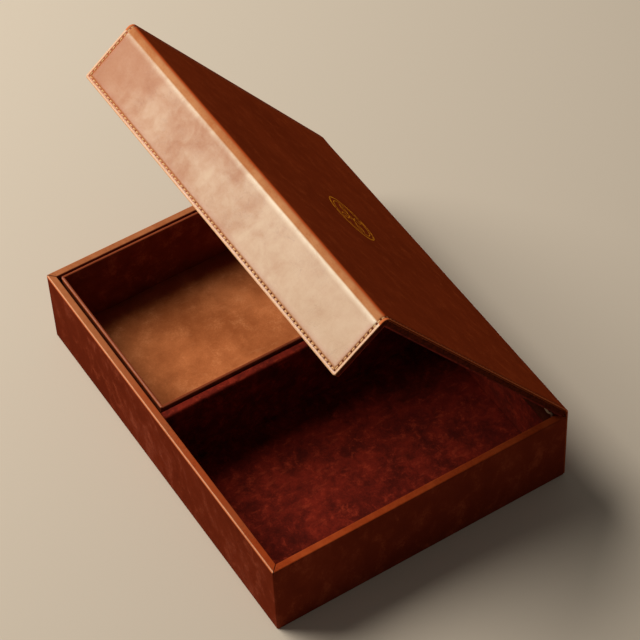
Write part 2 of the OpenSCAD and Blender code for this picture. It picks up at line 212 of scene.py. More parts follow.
# Leather: cloudy dye, fine creases and pores. The functions it takes give, from a place on the piece, a
# distance (edgeOf to the nearest edge, whose paler colour is partly wear and partly painted highlight, seamOf to a
# seam, holeOf to a stitch hole) or a share (where it is more polished and paler, the paler colour being painted
# highlight on the flap and partly painted light on rim tops; where the roll gets painted lit tones; cutOf on the
# cut sides; where it gets painted shade; where it gets a painted highlight along the fold)
def leather(name, look, uvMap=None, streak=(1, 1, 1), edgeOf=None, polishAndPaintedLightOf=None, seamOf=None, rollPaintedLightOf=None,
            holeOf=None, cutOf=None, paintedShadeOf=None, foldHighlightOf=None, wornWidth=1.6 * mm, seed=0.0):
    finish = Finish(name, {"Specular IOR Level": look["specular"], "Coat Roughness": 0.28,
                           "Coat IOR": look["coatIor"]})
    place = finish.place(uvMap)
    cloudPlace = place.scaled(streak).shifted((seed, seed * 0.7, seed * 0.3))
    clouds = cloudPlace.noise(70 * mm, 3, 0.2)
    mottle = cloudPlace.noise(12 * mm, 6, 0.35, 0.62)
    specks = place.noise(1.8 * mm, 4, 0, 0.6)
    lines = place.shifted((seed, 0, 0)).noise(9 * mm, 2, 1.6)
    creaseMask = place.shifted((0, seed, 1)).noise(22 * mm, 2).ramp(0.47, 0.6)
    crease = abs(lines - 0.5).ramp(0.016, 0.0) * creaseMask
    pores = place.cells(0.9 * mm).ramp(0.0, 0.5)
    tone = (clouds * 0.5 + mottle * 0.38 + specks * 0.12).ramp(0.5 - look["contrast"], 0.5 + look["contrast"])
    colour = tone.mix(look["deep"], look["body"])
    colour = (mottle * 0.7 + specks * 0.3).ramp(0.5, 0.74).mix(colour, look["pale"])
    rough = look["roughness"] + (clouds - 0.5) * 0.12 + (mottle - 0.5) * 0.14
    coat = (mottle * 0.6 + clouds * 0.4).ramp(0.46, 0.68) * look["bloom"]
    cloudy = (clouds * 0.45 + mottle * 0.37 + specks * 0.18).ramp(0.34, 0.66)
    # Share towards +x, uneven: there the painted highlight on the flap turns creamier and the rim tops turn from the
    # left to the right tone
    right = (place.part("X") * 2.2 + (clouds - 0.5) * 1.2 + (mottle - 0.5) * 0.5).ramp(*look["change"])
    # The roll's painted lit tones: an orange line where it leaves the lid's top, then tan towards the flap
    if rollPaintedLightOf:
        begin, turned = rollPaintedLightOf(place)
        colour = begin.mix(colour, turned.mix(look["roll"], cloudy.mix(*look["rollPale"])))
    # Where it is more polished the colour goes paler: on the flap this paler colour is painted highlight, on the rim
    # tops it is partly wear and partly painted light of the lit top face
    if polishAndPaintedLightOf:
        polishAndPaintedLight = polishAndPaintedLightOf(place)
        pale = right.mix(cloudy.mix(*look["left"]), cloudy.mix(*look["right"]))
        wax = look["wax"][0] + right * (look["wax"][1] - look["wax"][0])
        coat = coat * (1 - polishAndPaintedLight) + polishAndPaintedLight * wax * (0.85 + cloudy * 0.3)
        colour = (polishAndPaintedLight * (0.8 + mottle * 0.3)).least(1.0).mix(colour, pale)
        rough = rough - polishAndPaintedLight * look["polish"]
    # Painted shade just inside the stitches, mottled
    if paintedShadeOf:
        colour = (paintedShadeOf(place) * (0.2 + mottle * 0.6)).mix(colour, look["shade"])
    # A painted highlight along the fold, stronger to the right
    if foldHighlightOf:
        colour = (foldHighlightOf(place) * (0.35 + right * 0.5) * (0.5 + mottle * 0.7)).least(1.0).mix(colour, look["foldHighlight"])
    # Edges get a paler colour, partly wear and partly painted highlight; away from the polished faces it is a darker
    # copy, a painted shade
    if edgeOf:
        edge = edgeOf(place) + (mottle - 0.5) * 0.8 * mm
        wearAndHighlight = edge.ramp(wornWidth, 0.35 * wornWidth) * (0.7 + mottle * 0.3)
        bright = look["wearAndHighlight"]
        if polishAndPaintedLightOf:
            bright = polishAndPaintedLight.mix(look["wearAndHighlightInShade"], look["wearAndHighlight"])
            coat = coat.most(wearAndHighlight * polishAndPaintedLight * look["edgeWax"])
        colour = wearAndHighlight.mix(colour, bright)
        rough = rough - wearAndHighlight * 0.08
    # Cut sides: the edge's own dark colour, partly painted shade
    if cutOf:
        cut = cutOf(place)
        colour = cut.mix(colour, look["cut"])
        coat = coat * (1 - cut)
    finish.feed(Coat_Weight=coat)
    if holeOf:
        hole = place.part("X").ramp(-0.06, 0.1).mix(*look["hole"])
        colour = (holeOf(place).ramp(1.25 * mm, 0.75 * mm) * 0.85).mix(colour, hole)
    # Painted shade in the fine creases
    colour = (crease * look["creaseShade"]).mix(colour, look["deep"])
    if seamOf:
        colour = seamOf(place).ramp(0.5 * mm, 0.1 * mm).mix(colour, look["seam"])
    finish.feed(Base_Color=colour, Roughness=rough)
    finish.relief((clouds * 0.8 + mottle * 0.22) * (look["relief"] * mm)
                  + (specks * 0.025 + pores * 0.02 - crease * 0.08) * mm)
    return finish.material


# Distance in metres to the outer upper edge of a block, which gets wear and a painted highlight; the ends get less
# of them than the long sides
def rimEdge(centre, half, endsLess=0.0):
    def distance(place):
        across, along = (half[i] - abs(place.part("XYZ"[i]) - centre[i]) for i in range(2))
        down = centre[2] + half[2] - place.part("Z")
        return (across + endsLess).least(along) + down
    return distance


# Distance to the nearest side of the room between two corners
def wallDistance(low, high):
    def distance(place):
        sides = [(high[i] - low[i]) / 2 - abs(place.part("XYZ"[i]) - (high[i] + low[i]) / 2) for i in range(2)]
        return sides[0].least(sides[1])
    return distance


# 1 on the rim's top, 0 below it
def rimTop(height):
    def share(place):
        return place.part("Z").ramp(height - 0.5 * mm, height - 0.1 * mm)
    return share


# Distance to the mitre lines in the rim's corners
def mitreOf(half):
    def distance(place):
        across = half[0] - abs(place.part("X"))
        along = half[1] - abs(place.part("Y"))
        below = place.part("Z").ramp(half[2] - 1.6 * mm, half[2] - 3.0 * mm) * 0.3 * mm
        return abs(across - along) * 0.7 + across.least(along).ramp(9 * mm, 12 * mm) + below
    return distance


# Suede: crushed patches of nap with short brushed marks, soft and matt. Crush is how strongly the nap
# is pushed about, marks how plain the short strokes are
def suede(name, deep, body, pale, patch, contrast, crush, marks, seed=0.0, wallOf=None, wallShadeTone=None):
    finish = Finish(name, {"Specular IOR Level": 0.12, "Sheen Weight": 0.25, "Sheen Roughness": 0.5,
                           "Sheen Tint": (*linear(pale), 1)})
    place = finish.place()
    moved = place.shifted((seed, -seed, 0.5 * seed))
    patches = moved.noise(patch, 4, 0.5)
    pushed = moved.noise(patch * 0.34, 4, crush, 0.6)
    nap = place.noise(1.3 * mm, 3, 0, 0.7)
    dabs = moved.scaled((1.0, 0.35, 1.0)).noise(3.6 * mm, 2, 0.3).ramp(0.56, 0.68)
    mask = moved.noise(20 * mm, 3).ramp(0.44, 0.6)
    strokes = dabs * mask * marks
    tone = (patches * 0.45 + pushed * 0.37 + nap * 0.18).ramp(0.5 - contrast, 0.5 + contrast)
    colour = tone.mix(deep, body)
    colour = ((pushed * 0.65 + nap * 0.35).ramp(0.52, 0.72) * (0.35 + crush * 0.5)).mix(colour, pale)
    colour = (strokes * 0.5).mix(colour, pale)
    # Painted shade near the walls: darker and redder within about 20 mm of them
    if wallOf:
        near = (wallOf(place) + (patches - 0.5) * 24 * mm).ramp(20 * mm, 2 * mm)
        colour = (near * 0.75).mix(colour, wallShadeTone)
    finish.feed(Base_Color=colour, Roughness=0.95 - tone * 0.1)
    finish.relief(patches * 0.5 * mm + pushed * 0.35 * mm + nap * 0.14 * mm + strokes * 0.1 * mm)
    return finish.material


def plain(name, colour, roughness, uniform=None, grain=0.0, grainSize=2 * mm, dark=0.72):
    finish = Finish(name, {"Roughness": roughness, **(uniform or {})})
    place = finish.place()
    cloud = place.noise(grainSize, 4)
    shade = tuple(c * dark for c in colour)
    finish.feed(Base_Color=cloud.ramp(0.35, 0.6).mix(shade, colour))
    if grain:
        finish.relief(cloud * grain)
    return finish.material


# Gold foil, rubbed through to the leather in spots
def foil(name, gold, under):
    finish = Finish(name, {"Roughness": 0.45, "Specular IOR Level": 0.0, "Specular Tint": (*linear(gold), 1)})
    place = finish.place()
    rubbed = place.noise(3.5 * mm, 4, 0.4).ramp(0.5, 0.66)
    finish.feed(Base_Color=rubbed.mix(gold, under), Metallic=0.2 - rubbed * 0.2)
    return finish.material


# A colour that goes over into another between two places along an axis
def graded(name, first, second, letter, begin, end, roughness, specular, grainSize, dark):
    finish = Finish(name, {"Roughness": roughness, "Specular IOR Level": specular})
    place = finish.place()
    change = place.part(letter).ramp(begin, end)
    cloud = place.noise(grainSize, 4).ramp(0.35, 0.6)
    shades = [change.mix(tuple(c * k for c in first), tuple(c * k for c in second)) for k in (dark, 1.0)]
    finish.feed(Base_Color=cloud.mix(*shades))
    return finish.material


# The leather sheet's path
# Millimetres, in the plane of depth and height; s runs from the spine's foot over the hinge to the flap's end
sheetSize = {
    "spineFoot": 1.0, "spineHalf": 160.0, "lidHalf": 161.0, "thickness": 1.4,
    "lidLength": 241.3, "rollRadius": 4.5, "flapLength": 45.5, "edgeRound": 0.45,
    "cornerRound": 2.0,
}
sheetAxis = (lidHinge["pos_m"][1] / mm, lidHinge["pos_m"][2] / mm)
sheetPieces = [
    ("line", sheetAxis[1] - sheetSize["spineFoot"]),
    ("turn", 90 - math.degrees(openAngle), sheetSize["thickness"]),
    ("line", sheetSize["lidLength"]),
    ("turn", 90, sheetSize["rollRadius"]),
    ("line", sheetSize["flapLength"]),
]


# Where each piece of the path starts: distance, point, heading
def walkPath():
    found = []
    s, y, z, turned = 0.0, sheetAxis[0] + sheetSize["thickness"], sheetSize["spineFoot"], 0.0
    for piece in sheetPieces:
        found.append((s, y, z, turned, piece))
        if piece[0] == "line":
            y -= math.sin(turned) * piece[1]
            z += math.cos(turned) * piece[1]
            s += piece[1]
        else:
            angle = math.radians(piece[1])
            cy, cz = y - math.cos(turned) * piece[2], z - math.sin(turned) * piece[2]
            turned += angle
            y, z = cy + math.cos(turned) * piece[2], cz + math.sin(turned) * piece[2]
            s += angle * piece[2]
    found.append((s, y, z, turned, None))
    return found


pathStarts = walkPath()
pathEnd = pathStarts[-1][0]
lidStart = pathStarts[2][0]
rollStart = pathStarts[3][0]
flapStart = pathStarts[4][0]


# Point and outward normal on the outer face at s, in millimetres
def pathAt(s):
    index = max(i for i in range(len(sheetPieces)) if pathStarts[i][0] <= s + 1e-9)
    start, y, z, turned, piece = pathStarts[index]
    run = s - start
    if piece[0] == "line":
        y, z = y - math.sin(turned) * run, z + math.cos(turned) * run
    else:
        cy, cz = y - math.cos(turned) * piece[2], z - math.sin(turned) * piece[2]
        turned += run / piece[2]
        y, z = cy + math.cos(turned) * piece[2], cz + math.sin(turned) * piece[2]
    return (y, z), (math.cos(turned), math.sin(turned))


# A point in metres: x across, s along the sheet, rise above the outer face
def sheetPoint(x, s, rise=0.0):
    (y, z), (ny, nz) = pathAt(min(max(s, 0.0), pathEnd))
    beyond = s - min(max(s, 0.0), pathEnd)
    y, z = y + ny * rise - nz * beyond, z + nz * rise + ny * beyond
    return Vector((x * mm, y * mm, z * mm))


# Half width of the sheet at s: a little wider from the hinge on, rounded at the flap's corners
def halfWidth(s):
    blend = min(max((s - lidStart + 1) / 4, 0), 1)
    half = sheetSize["spineHalf"] + (sheetSize["lidHalf"] - sheetSize["spineHalf"]) * blend
    left = pathEnd - s
    r = sheetSize["cornerRound"]
    if left < r:
        half -= r - math.sqrt(max(r * r - (r - left) ** 2, 0))
    return half


# Stitches' line and the sheet's relief
seam = {"inset": 2.8, "pitch": 4.0, "from": lidStart + 5.0, "grooveDepth": 0.5, "grooveWidth": 0.75}
crease = {"after": 2.0, "depth": 0.2, "width": 0.6}


def seamDistance(x, s):
    line = sheetSize["lidHalf"] - seam["inset"]
    last = pathEnd - seam["inset"]
    side = math.hypot(abs(x) - line, max(s - last, 0, seam["from"] - s))
    end = math.hypot(max(abs(x) - line, 0), s - last)
    return min(side, end)


# How far the outer face lies below its plain form, in millimetres
def sheetDrop(x, s):
    wave = 0.13 * (1 + noise.noise(Vector((x / 38, s / 46, 3.1))))
    wave += 0.05 * (1 + noise.noise(Vector((x / 13, s / 15, 8.7))))
    edge = min(halfWidth(s) - abs(x), pathEnd - s)
    drop = 0.02 + wave * min(max((edge - 1) / 8, 0), 1)
    drop += seam["grooveDepth"] * math.exp(-(seamDistance(x, s) / seam["grooveWidth"]) ** 2)
    fold = s - flapStart - crease["after"]
    drop += crease["depth"] * math.exp(-(fold / crease["width"]) ** 2)
    return drop


def newObject(name, points, faces, material, smooth=True):
    mesh = bpy.data.meshes.new(name)
    mesh.from_pydata([tuple(p) for p in points], [], faces)
    mesh.materials.append(material)
    if smooth:
        mesh.shade_smooth()
    obj = bpy.data.objects.new(name, mesh)
    bpy.context.scene.collection.objects.link(obj)
    return obj


# Distances from an edge: close together near it, then even steps
def edgeSteps(length, step):
    near = [0.45, 0.9, 1.4, 1.8, 2.2, 2.5, 2.8, 3.1, 3.4, 3.8, 4.4, 5.6, 7.5, 10]
    count = max(int((length - near[-1]) / step), 1)
    return near + [near[-1] + (length - near[-1]) * (i + 1) / count for i in range(count)]


# The sheet: a closed ring of points across it at every station along it
def buildSheet(name, material):
    r = sheetSize["edgeRound"]
    thick = sheetSize["thickness"]
    half = edgeSteps(sheetSize["lidHalf"], 4.0)
    across = [e - sheetSize["lidHalf"] for e in half] + [sheetSize["lidHalf"] - e for e in half[-2::-1]]
    arc = [math.radians(a) for a in (22.5, 45, 67.5, 90)]
    stations = [0.9, 3, 6, 12] + [20 + i * 8 for i in range(5)] + [58, 62, 65, 67, 68.2, 69.2, 70, 70.6]
    stations += [71 + i * 0.15 for i in range(7)] + [lidStart + a for a in (0.3, 0.8, 1.4, 2.1, 3, 4, 5.5, 8, 12)]
    stations += [lidStart + 16 + i * 4 for i in range(56)]
    stations += [rollStart + (flapStart - rollStart) * i / 12 for i in range(13)]
    stations += [flapStart + a for a in (0.5, 0.9, 1.2, 1.5, 1.8, 2.0, 2.2, 2.5, 2.9, 3.4, 4.2, 5.5)]
    stations += [flapStart + 8 + 2.5 * i for i in range(10)]
    stations += [pathEnd - e for e in (10, 7.5, 5.6, 4.4, 3.8, 3.4, 3.1, 2.8, 2.5, 2.2, 1.8, 1.4, 1.1, 0.8)]
    stations = sorted(set(round(s, 4) for s in stations))
    rings = [(r * (1 - math.sin(a)), r * (1 - math.cos(a))) for a in reversed([0] + arc)]
    plan = [(s, inset) for s, inset in rings[:-1]] + [(s, 0) for s in stations]
    plan = [(s, i) for s, i in plan] + [(pathEnd - s, i) for s, i in reversed(rings[:-1])]
    plan = sorted(set(plan))
    points, faces, uv = [], [], []
    for s, inset in plan:
        width = halfWidth(s) - inset
        shift = sheetSize["lidHalf"] - width
        ring = []
        for x in across:
            distance = sheetSize["lidHalf"] - abs(x)
            moved = x - math.copysign(shift * max(1 - distance / 30, 0), x)
            ring.append((moved, -inset - sheetDrop(moved, s)))
        for sign, order in ((1, arc), (-1, None)):
            high = [(sign * (width - r + r * math.sin(a)), -inset - r + r * math.cos(a)) for a in arc]
            low = [(sign * (width - r + r * math.sin(a)), inset - thick + r - r * math.cos(a)) for a in arc]
            if sign == 1:
                ring += high + low[::-1]
                count = 16
                ring += [((width - r) * (1 - 2 * i / count), inset - thick) for i in range(count + 1)]
            else:
                ring += low + high[::-1]
        base = len(points)
        size = len(ring)
        points += [sheetPoint(x, s, rise) for x, rise in ring]
        uv += [(x * mm, s * mm) for x, rise in ring]
        if base:
            faces += [(base - size + i, base - size + (i + 1) % size, base + (i + 1) % size, base + i)
                      for i in range(size)]
    faces.insert(0, tuple(range(size - 1, -1, -1)))
    faces.append(tuple(range(len(points) - size, len(points))))
    obj = newObject(name, points, faces, material)
    layer = obj.data.uv_layers.new(name="grain")
    for loop in obj.data.loops:
        layer.data[loop.index].uv = uv[loop.vertex_index]
    return obj


# Pieces made from the frame's solids
# A copy of a CAD solid with its sharp edges broken
def softened(node, material, width, body, roundTop=0.0, segments=2):
    source = frame["nodes"][node]
    mesh = source.data.copy()
    work = bmesh.new()
    work.from_mesh(mesh)
    bmesh.ops.remove_doubles(work, verts=work.verts, dist=1e-6)
    bmesh.ops.dissolve_limit(work, angle_limit=math.radians(0.6), verts=work.verts, edges=work.edges)
    if roundTop:
        low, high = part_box(node)
        long = [e for e in work.edges if e.calc_length() > 0.8 * (high.y - low.y)
                and all(v.co.z > high.z - 0.01 * mm and min(v.co.x - low.x, high.x - v.co.x) < 0.01 * mm
                        for v in e.verts)]
        bmesh.ops.bevel(work, geom=long, offset=roundTop * mm, segments=5, profile=0.5, affect="EDGES")
    sharp = [e for e in work.edges if e.is_manifold and e.calc_face_angle() > math.radians(35)]
    bmesh.ops.bevel(work, geom=sharp, offset=width * mm, segments=segments, profile=0.5,
                    affect="EDGES", clamp_overlap=True)
    bmesh.ops.triangulate(work, faces=[f for f in work.faces if len(f.verts) > 4])
    bmesh.ops.recalc_face_normals(work, faces=work.faces)
    work.to_mesh(mesh)
    work.free()
    mesh.materials.clear()
    mesh.materials.append(material)
    mesh.shade_smooth()
    raw = bpy.data.objects.new("soft_" + node, mesh)
    bpy.context.scene.collection.objects.link(raw)
    weigh = raw.modifiers.new("firm", "WEIGHTED_NORMAL")
    weigh.weight = 100
    solid = bpy.data.meshes.new_from_object(raw.evaluated_get(bpy.context.evaluated_depsgraph_get()))
    raw.modifiers.clear()
    raw.data = solid
    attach(raw, body)
    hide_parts(node)
    return raw


# A lining with a gently uneven top inside the room of a CAD solid
def unevenSlab(node, material, step, dip, body, seed):
    low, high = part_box(node)
    nx = max(int((high.x - low.x) / mm / step), 2)
    ny = max(int((high.y - low.y) / mm / step), 2)
    points, faces = [], []
    for j in range(ny + 1):
        for i in range(nx + 1):
            x = low.x + (high.x - low.x) * i / nx
            y = low.y + (high.y - low.y) * j / ny
            edge = min(x - low.x, high.x - x, y - low.y, high.y - y) / mm
            points.append((x, y, high.z - dip(x / mm, y / mm, edge, seed) * mm))
    row = nx + 1
    rim = [i for i in range(nx)] + [nx + j * row for j in range(ny)]
    rim += [ny * row + i for i in range(nx, 0, -1)] + [j * row for j in range(ny, 0, -1)]
    base = len(points)
    points += [(points[i][0], points[i][1], low.z) for i in rim]
    for j in range(ny):
        for i in range(nx):
            a = j * row + i
            faces.append((a, a + 1, a + row + 1, a + row))
    count = len(rim)
    faces += [(rim[(k + 1) % count], rim[k], base + k, base + (k + 1) % count) for k in range(count)]
    faces.append(tuple(base + k for k in range(count - 1, -1, -1)))
    obj = newObject("soft_" + node, points, faces, material)
    obj.data.set_sharp_from_angle(angle=math.radians(50))
    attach(obj, body)
    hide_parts(node)
    return obj


def ripple(x, y, seed, size):
    return 0.5 + 0.5 * noise.noise(Vector((x / size, y / size, seed)))


def floorDip(x, y, edge, seed):
    dip = 0.35 * ripple(x, y, seed, 34) + 0.2 * ripple(x, y, seed + 5, 11)
    return dip + 0.35 * max(1 - edge / 1.2, 0) ** 2


def trayDip(x, y, edge, seed):
    dip = 1.5 * ripple(x, y, seed, 42) ** 2 + 0.5 * ripple(x, y, seed + 5, 15)
    return dip + 0.9 * max(1 - edge / 7, 0) ** 2


# Stitches by Geometry Nodes
stitchLook = {"Thread Length": 2.8 * mm, "Thread Radius": 0.52 * mm, "Thread Rise": 0.34 * mm,
              "Hole Radius": 0.78 * mm, "Slant": 0.14, "Seed": 4}


# Threads and holes on the points of a mesh that carries "along", "up" and "isHole"
def stitchTree(threadMaterial, holeMaterial):
    tree = bpy.data.node_groups.new("Stitches", "GeometryNodeTree")
    face = tree.interface
    face.new_socket("Geometry", in_out="OUTPUT", socket_type="NodeSocketGeometry")
    face.new_socket("Geometry", in_out="INPUT", socket_type="NodeSocketGeometry")
    for name in stitchLook:
        kind = "NodeSocketInt" if name == "Seed" else "NodeSocketFloat"
        face.new_socket(name, in_out="INPUT", socket_type=kind)

    def node(kind, settings=None, **feeds):
        made = tree.nodes.new(kind)
        for name, value in (settings or {}).items():
            setattr(made, name, value)
        for name, value in feeds.items():
            socket = made.inputs[int(name[1:])] if name[1:].isdigit() else made.inputs[name.replace("_", " ")]
            if isinstance(value, bpy.types.NodeSocket):
                tree.links.new(value, socket)
            else:
                socket.default_value = value
        return made

    given = node("NodeGroupInput").outputs

    def attribute(name, kind):
        return node("GeometryNodeInputNamedAttribute", {"data_type": kind}, Name=name).outputs["Attribute"]

    def maths(operation, a, b):
        return node("ShaderNodeMath", {"operation": operation}, _0=a, _1=b).outputs[0]

    def placed(points, shape, spread):
        upright = node("FunctionNodeAlignRotationToVector", {"axis": "Z"},
                       Vector=attribute("up", "FLOAT_VECTOR")).outputs[0]
        turned = node("FunctionNodeAlignRotationToVector", {"axis": "X", "pivot_axis": "Z"},
                      Rotation=upright, Vector=attribute("along", "FLOAT_VECTOR")).outputs[0]
        size = node("FunctionNodeRandomValue", {"data_type": "FLOAT"}, Seed=given["Seed"])
        size.inputs[2].default_value = 1 - spread
        size.inputs[3].default_value = 1 + spread
        return node("GeometryNodeInstanceOnPoints", None, Points=points, Instance=shape,
                    Rotation=turned, Scale=size.outputs[1]).outputs[0]

    split = node("GeometryNodeSeparateGeometry", {"domain": "POINT"}, Geometry=given["Geometry"],
                 Selection=attribute("isHole", "BOOLEAN"))
    # The thread rises out of one hole and dips into the next, a little aslant
    halfRun = maths("MULTIPLY", given["Thread Length"], 0.5)
    sideways = maths("MULTIPLY", halfRun, given["Slant"])
    backRun = maths("MULTIPLY", halfRun, -1.0)
    backSide = maths("MULTIPLY", sideways, -1.0)
    sunk = maths("MULTIPLY", given["Thread Radius"], -1.1)
    start = node("ShaderNodeCombineXYZ", None, _0=backRun, _1=backSide, _2=sunk).outputs[0]
    top = node("ShaderNodeCombineXYZ", None, _2=maths("MULTIPLY", given["Thread Rise"], 2.2)).outputs[0]
    stop = node("ShaderNodeCombineXYZ", None, _0=halfRun, _1=sideways, _2=sunk).outputs[0]
    line = node("GeometryNodeCurveQuadraticBezier", None, Resolution=9, Start=start, Middle=top, End=stop)
    ring = node("GeometryNodeCurvePrimitiveCircle", {"mode": "RADIUS"}, Resolution=8,
                Radius=given["Thread Radius"])
    cord = node("GeometryNodeCurveToMesh", None, Curve=line.outputs[0], Profile_Curve=ring.outputs[0],
                Fill_Caps=True).outputs[0]
    threads = node("GeometryNodeRealizeInstances", None,
                   Geometry=placed(split.outputs["Inverted"], cord, 0.05)).outputs[0]
    threads = node("GeometryNodeSetMaterial", None, Geometry=threads, Material=threadMaterial).outputs[0]
    bead = node("GeometryNodeMeshUVSphere", None, Segments=10, Rings=6, Radius=given["Hole Radius"]).outputs[0]
    flat = node("GeometryNodeTransform", None, Geometry=bead, Scale=(1.0, 0.85, 0.1)).outputs[0]
    holes = node("GeometryNodeRealizeInstances", None,
                 Geometry=placed(split.outputs["Selection"], flat, 0.1)).outputs[0]
    holes = node("GeometryNodeSetMaterial", None, Geometry=holes, Material=holeMaterial).outputs[0]
    both = tree.nodes.new("GeometryNodeJoinGeometry")
    tree.links.new(threads, both.inputs[0])
    tree.links.new(holes, both.inputs[0])
    tree.links.new(both.outputs[0], node("NodeGroupOutput").inputs[0])
    return tree


sideCount = round((pathEnd - seam["inset"] - seam["from"]) / seam["pitch"])
endCount = round(2 * (sheetSize["lidHalf"] - seam["inset"]) / seam["pitch"])


# Holes every pitch along the U of the seam, with one at each lower corner, and a thread between neighbours
def seamPlaces():
    line = sheetSize["lidHalf"] - seam["inset"]
    last = pathEnd - seam["inset"]
    places = []
    for sign in (-1, 1):
        holes = [seam["from"] + (last - seam["from"]) * i / sideCount for i in range(sideCount + 1)]
        places += [(sign * line, s, (0, 1), True) for s in holes]
        places += [(sign * line, (a + b) / 2, (0, 1), False) for a, b in zip(holes, holes[1:])]
    holes = [line * (2 * i / endCount - 1) for i in range(endCount + 1)]
    places += [(x, last, (1, 0), True) for x in holes[1:-1]]
    places += [((a + b) / 2, last, (1, 0), False) for a, b in zip(holes, holes[1:])]
    return places


def buildStitches(name, threadMaterial, holeMaterial):
    places = seamPlaces()
    mesh = bpy.data.meshes.new(name)
    spots = []
    for x, s, run, hole in places:
        # The thread lies in the groove on the lid and over the roll, and stands a little proud on the flap
        proud = 0.22 if hole else 0.3 * min(max((s - rollStart - 3) / 8 - 1, 0), 1) - 0.18
        spots.append(sheetPoint(x, s, proud - sheetDrop(x, s)))
    mesh.from_pydata([tuple(p) for p in spots], [], [])
    along = mesh.attributes.new("along", "FLOAT_VECTOR", "POINT")
    up = mesh.attributes.new("up", "FLOAT_VECTOR", "POINT")
    isHole = mesh.attributes.new("isHole", "BOOLEAN", "POINT")
    for i, (x, s, run, hole) in enumerate(places):
        (y, z), (ny, nz) = pathAt(s)
        along.data[i].vector = Vector((run[0], -nz * run[1], ny * run[1]))
        up.data[i].vector = Vector((0, ny, nz))
        isHole.data[i].value = hole
    obj = bpy.data.objects.new(name, mesh)
    bpy.context.scene.collection.objects.link(obj)
    tree = stitchTree(threadMaterial, holeMaterial)
    work = obj.modifiers.new("Stitches", "NODES")
    work.node_group = tree
    for item in tree.interface.items_tree:
        if item.in_out == "INPUT" and item.name in stitchLook:
            work[item.identifier] = stitchLook[item.name]
    solid = bpy.data.meshes.new_from_object(obj.evaluated_get(bpy.context.evaluated_depsgraph_get()))
    obj.modifiers.clear()
    obj.data = solid
    solid.shade_smooth()
    return obj


# Inner hinge leather
# Millimetres, centre line at rest in depth and height, from low on the back wall to under the lid
innerHinge = {
    "half": 153.0, "thickness": 1.5, "edgeRound": 0.4,
    "line": [(114.8, 46), (114.8, 52), (114.6, 57), (114.1, 60.3), (113.1, 63.8), (112.4, 67.6),
             (109.6, 71.3), (107.9, 75.4), (106.6, 78.9), (105.8, 82.9)],
    "lidFrom": 20.6, "lidTo": 24.0, "under": 4.0,
}


def smoothLine(controls, step):
    found = []
    spots = [controls[0], *controls, controls[-1]]
    for i in range(1, len(spots) - 2):
        a, b, c, d = (Vector(p) for p in spots[i - 1:i + 3])
        count = max(int((c - b).length / step), 1)
        for k in range(count):
            t = k / count
            found.append(0.5 * (2 * b + (c - a) * t + (2 * a - 5 * b + 4 * c - d) * t ** 2
                                + (3 * b - a - 3 * c + d) * t ** 3))
    return found + [Vector(controls[-1])]


def buildInnerHinge(name, material):
    alongLid = Vector((-math.cos(openAngle), math.sin(openAngle)))
    outOfLid = Vector((math.sin(openAngle), math.cos(openAngle)))
    axis = Vector(sheetAxis)
    controls = [Vector(p) for p in innerHinge["line"]]
    for a in (innerHinge["lidFrom"], innerHinge["lidTo"]):
        controls.append(axis + alongLid * a - outOfLid * innerHinge["under"])
    line = smoothLine(controls, 0.6)
    r = innerHinge["edgeRound"]
    h = innerHinge["thickness"] / 2
    half = innerHinge["half"]
    points, faces, uv = [], [], []
    arc = [math.radians(a) for a in (90, 60, 30, 0)]
    run = 0.0
    for k, spot in enumerate(line):
        ahead = line[min(k + 1, len(line) - 1)] - line[max(k - 1, 0)]
        ahead.normalize()
        side = Vector((ahead.y, -ahead.x))
        end = min(k, len(line) - 1 - k)
        inset = (0.4, 0.12, 0)[min(end, 2)]
        run += 0.6
        ring = []
        count = 24
        ring += [((half - r - inset) * (2 * i / count - 1), h - inset) for i in range(count + 1)]
        ring += [(half - r + r * math.cos(a) - inset, h - inset - r + r * math.sin(a)) for a in arc[1:]]
        ring += [(half - r + r * math.cos(a) - inset, -h + inset + r - r * math.sin(a)) for a in arc[::-1]]
        ring += [((half - r - inset) * (1 - 2 * i / count), inset - h) for i in range(1, count + 1)]
        ring += [(-(half - r + r * math.cos(a) - inset), -h + inset + r - r * math.sin(a)) for a in arc[1:]]
        ring += [(-(half - r + r * math.cos(a) - inset), h - inset - r + r * math.sin(a)) for a in arc[::-1][:-1]]
        base, size = len(points), len(ring)
        for x, lift in ring:
            p = spot + side * lift
            points.append((x * mm, p.x * mm, p.y * mm))
            uv.append((x * mm, run * mm))
        if base:
            faces += [(base - size + i, base - size + (i + 1) % size, base + (i + 1) % size, base + i)
                      for i in range(size)]
    faces.insert(0, tuple(range(size - 1, -1, -1)))
    faces.append(tuple(range(len(points) - size, len(points))))
    obj = newObject(name, points, faces, material)
    layer = obj.data.uv_layers.new(name="grain")
    for loop in obj.data.loops:
        layer.data[loop.index].uv = uv[loop.vertex_index]
    bmeshFix(obj.data)
    return obj


# Turns every face outwards
def bmeshFix(mesh):
    work = bmesh.new()
    work.from_mesh(mesh)
    bmesh.ops.recalc_face_normals(work, faces=work.faces)
    work.to_mesh(mesh)
    work.free()


# Gold line ornament on the lid
ornament = {"x": 0.0, "along": 122.0, "length": 46.0, "width": 34.0, "line": 1.5, "rise": 0.03}


